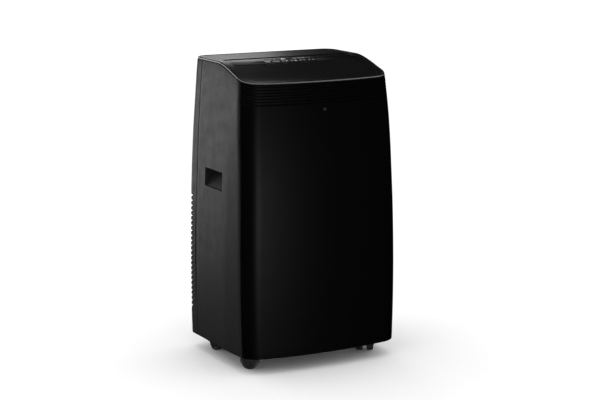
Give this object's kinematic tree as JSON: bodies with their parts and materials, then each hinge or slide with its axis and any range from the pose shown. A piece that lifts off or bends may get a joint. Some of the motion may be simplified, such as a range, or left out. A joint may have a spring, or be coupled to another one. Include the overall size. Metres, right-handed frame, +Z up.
{
  "type": "portable air conditioner",
  "caption": "Tall tapered black air conditioner on twin-wheel casters, with a hinged top outlet flap, touch keys, side hand pockets and louvred back.",
  "frame": {"origin": "on the floor under the middle of the overall box", "axes": "+Z up, +X to the right of someone facing the front, -Y the front"},
  "size_m": [0.4204, 0.341, 0.715],
  "materials": {
    "casing": "fine textured black moulding",
    "front_gloss": "glossy black",
    "top_gloss": "satin to glossy black",
    "keys": "satin black with pale printed symbols",
    "window": "clear dark display window",
    "grey_plastic": "matte grey",
    "white_plastic": "matte white",
    "filter": "fine dark mesh",
    "rubber": "matte",
    "wheel": "satin black",
    "foam": "matte off-white foam and moulding",
    "fins": "stacked thin fins",
    "copper": "drawn copper",
    "steel": "satin",
    "black_steel": "satin black paint",
    "circuit": "green board"
  },
  "bodies": {
    "chassis": {"accumulator": "black_steel", "base_pan": "black_steel", "compressor": "black_steel", "condenser_coil": "fins", "condenser_grille": "casing", "condenser_motor": "steel", "condenser_scroll": "foam", "control_board": "circuit", "control_fascia": "top_gloss", "cord_gland": "rubber", "discharge_pipe": "copper", "display_window": "window", "drain_tray": "foam", "electrical_box": "grey_plastic", "evaporator_coil": "fins", "evaporator_motor": "steel", "evaporator_scroll": "foam", "exhaust_elbow": "foam", "flap_motor": "steel", "front_panel": "front_gloss", "hose_collar": "casing", "left_side_panel": "casing", "liquid_pipe": "copper", "mid_deck": "foam", "outlet_duct": "casing", "rear_housing": "casing", "right_side_panel": "casing", "splash_motor": "steel", "suction_pipe": "copper", "top_cover": "top_gloss"},
    "intake_filter": {"intake_grille": "casing", "filter_frame": "grey_plastic", "filter_mesh": "filter"},
    "outlet_flap": {"outlet_flap": "top_gloss"},
    "vane_link": {"vane_link": "casing"},
    "evaporator_fan": {"evaporator_fan": "white_plastic"},
    "condenser_fan": {"condenser_fan": "white_plastic"},
    "splash_wheel": {"splash_wheel": "white_plastic"},
    "drain_cap_lower": {"drain_cap_lower": "rubber"},
    "drain_cap_upper": {"drain_cap_upper": "rubber"},
    "guide_vane_1": {"guide_vane_1": "casing"},
    "guide_vane_2": {"guide_vane_2": "casing"},
    "guide_vane_3": {"guide_vane_3": "casing"},
    "guide_vane_4": {"guide_vane_4": "casing"},
    "guide_vane_5": {"guide_vane_5": "casing"},
    "guide_vane_6": {"guide_vane_6": "casing"},
    "key_power": {"key_power": "keys"},
    "key_mode": {"key_mode": "keys"},
    "key_fan": {"key_fan": "keys"},
    "key_timer": {"key_timer": "keys"},
    "key_down": {"key_down": "keys"},
    "key_up": {"key_up": "keys"},
    "caster_front_left_swivel": {"caster_front_left_hood": "wheel"},
    "caster_front_left_wheels": {"caster_front_left_wheels": "wheel"},
    "caster_front_right_swivel": {"caster_front_right_hood": "wheel"},
    "caster_front_right_wheels": {"caster_front_right_wheels": "wheel"},
    "caster_rear_left_swivel": {"caster_rear_left_hood": "wheel"},
    "caster_rear_left_wheels": {"caster_rear_left_wheels": "wheel"},
    "caster_rear_right_swivel": {"caster_rear_right_hood": "wheel"},
    "caster_rear_right_wheels": {"caster_rear_right_wheels": "wheel"}
  },
  "joints": [
    {"name": "flap_hinge", "type": "hinge", "parent": "chassis", "child": "outlet_flap", "pos_m": [0, -0.0177, 0.70128], "axis": [-1, 0, 0], "range_deg": [0, 75]},
    {"name": "vane_1_turn", "type": "hinge", "parent": "chassis", "child": "guide_vane_1", "pos_m": [-0.12333, -0.06585, 0.65], "axis": [0, 1, 0], "range_deg": [-30, 30]},
    {"name": "vane_2_turn", "type": "hinge", "parent": "chassis", "child": "guide_vane_2", "pos_m": [-0.074, -0.06585, 0.65], "axis": [0, 1, 0], "range_deg": [-30, 30]},
    {"name": "vane_3_turn", "type": "hinge", "parent": "chassis", "child": "guide_vane_3", "pos_m": [-0.02467, -0.06585, 0.65], "axis": [0, 1, 0], "range_deg": [-30, 30]},
    {"name": "vane_4_turn", "type": "hinge", "parent": "chassis", "child": "guide_vane_4", "pos_m": [0.02467, -0.06585, 0.65], "axis": [0, 1, 0], "range_deg": [-30, 30]},
    {"name": "vane_5_turn", "type": "hinge", "parent": "chassis", "child": "guide_vane_5", "pos_m": [0.074, -0.06585, 0.65], "axis": [0, 1, 0], "range_deg": [-30, 30]},
    {"name": "vane_6_turn", "type": "hinge", "parent": "chassis", "child": "guide_vane_6", "pos_m": [0.12333, -0.06585, 0.65], "axis": [0, 1, 0], "range_deg": [-30, 30]},
    {"name": "vane_link_slide", "type": "slide", "parent": "chassis", "child": "vane_link", "axis": [1, 0, 0], "range_m": [-0.0056, 0.0056]},
    {"name": "key_power_press", "type": "slide", "parent": "chassis", "child": "key_power", "axis": [0, 0, -1], "range_m": [0, 0.0008], "stiffness_N_per_m": 600, "springref_m": -0.0005},
    {"name": "key_mode_press", "type": "slide", "parent": "chassis", "child": "key_mode", "axis": [0, 0, -1], "range_m": [0, 0.0008], "stiffness_N_per_m": 600, "springref_m": -0.0005},
    {"name": "key_fan_press", "type": "slide", "parent": "chassis", "child": "key_fan", "axis": [0, 0, -1], "range_m": [0, 0.0008], "stiffness_N_per_m": 600, "springref_m": -0.0005},
    {"name": "key_timer_press", "type": "slide", "parent": "chassis", "child": "key_timer", "axis": [0, 0, -1], "range_m": [0, 0.0008], "stiffness_N_per_m": 600, "springref_m": -0.0005},
    {"name": "key_down_press", "type": "slide", "parent": "chassis", "child": "key_down", "axis": [0, 0, -1], "range_m": [0, 0.0008], "stiffness_N_per_m": 600, "springref_m": -0.0005},
    {"name": "key_up_press", "type": "slide", "parent": "chassis", "child": "key_up", "axis": [0, 0, -1], "range_m": [0, 0.0008], "stiffness_N_per_m": 600, "springref_m": -0.0005},
    {"name": "intake_filter_pull", "type": "slide", "parent": "chassis", "child": "intake_filter", "axis": [0, 1, 0], "range_m": [0, 0.06]},
    {"name": "drain_cap_lower_pull", "type": "slide", "parent": "chassis", "child": "drain_cap_lower", "axis": [0, 1, 0], "range_m": [0, 0.02]},
    {"name": "drain_cap_upper_pull", "type": "slide", "parent": "chassis", "child": "drain_cap_upper", "axis": [0, 1, 0], "range_m": [0, 0.02]},
    {"name": "evaporator_fan_spin", "type": "hinge", "parent": "chassis", "child": "evaporator_fan", "pos_m": [0, -0.069, 0.54], "axis": [0, 1, 0], "continuous": true},
    {"name": "condenser_fan_spin", "type": "hinge", "parent": "chassis", "child": "condenser_fan", "pos_m": [-0.045, 0.035, 0.235], "axis": [0, 1, 0], "continuous": true},
    {"name": "splash_wheel_spin", "type": "hinge", "parent": "chassis", "child": "splash_wheel", "pos_m": [0.04, 0.1295, 0.092], "axis": [0, 1, 0], "continuous": true},
    {"name": "caster_front_left_turn", "type": "hinge", "parent": "chassis", "child": "caster_front_left_swivel", "pos_m": [-0.15, -0.085, 0.045], "axis": [0, 0, 1], "continuous": true},
    {"name": "caster_front_left_roll", "type": "hinge", "parent": "caster_front_left_swivel", "child": "caster_front_left_wheels", "pos_m": [-0.15971, -0.07984, 0.02], "axis": [0.4695, 0.8829, 0], "continuous": true},
    {"name": "caster_front_right_turn", "type": "hinge", "parent": "chassis", "child": "caster_front_right_swivel", "pos_m": [0.15, -0.085, 0.045], "axis": [0, 0, 1], "continuous": true},
    {"name": "caster_front_right_roll", "type": "hinge", "parent": "caster_front_right_swivel", "child": "caster_front_right_wheels", "pos_m": [0.15516, -0.07529, 0.02], "axis": [0.8829, -0.4695, 0], "continuous": true},
    {"name": "caster_rear_left_turn", "type": "hinge", "parent": "chassis", "child": "caster_rear_left_swivel", "pos_m": [-0.15, 0.085, 0.045], "axis": [0, 0, 1], "continuous": true},
    {"name": "caster_rear_left_roll", "type": "hinge", "parent": "caster_rear_left_swivel", "child": "caster_rear_left_wheels", "pos_m": [-0.15191, 0.09583, 0.02], "axis": [0.9848, 0.1736, 0], "continuous": true},
    {"name": "caster_rear_right_turn", "type": "hinge", "parent": "chassis", "child": "caster_rear_right_swivel", "pos_m": [0.15, 0.085, 0.045], "axis": [0, 0, 1], "continuous": true},
    {"name": "caster_rear_right_roll", "type": "hinge", "parent": "caster_rear_right_swivel", "child": "caster_rear_right_wheels", "pos_m": [0.15266, 0.09567, 0.02], "axis": [0.9703, -0.2419, 0], "continuous": true}
  ],
  "couplings": [
    {"joint": "vane_2_turn", "follows": "vane_1_turn", "ratio": 1},
    {"joint": "vane_3_turn", "follows": "vane_1_turn", "ratio": 1},
    {"joint": "vane_4_turn", "follows": "vane_1_turn", "ratio": 1},
    {"joint": "vane_5_turn", "follows": "vane_1_turn", "ratio": 1},
    {"joint": "vane_6_turn", "follows": "vane_1_turn", "ratio": 1},
    {"joint": "vane_link_slide", "follows": "vane_1_turn", "m_per_rad": -0.0105}
  ]
}
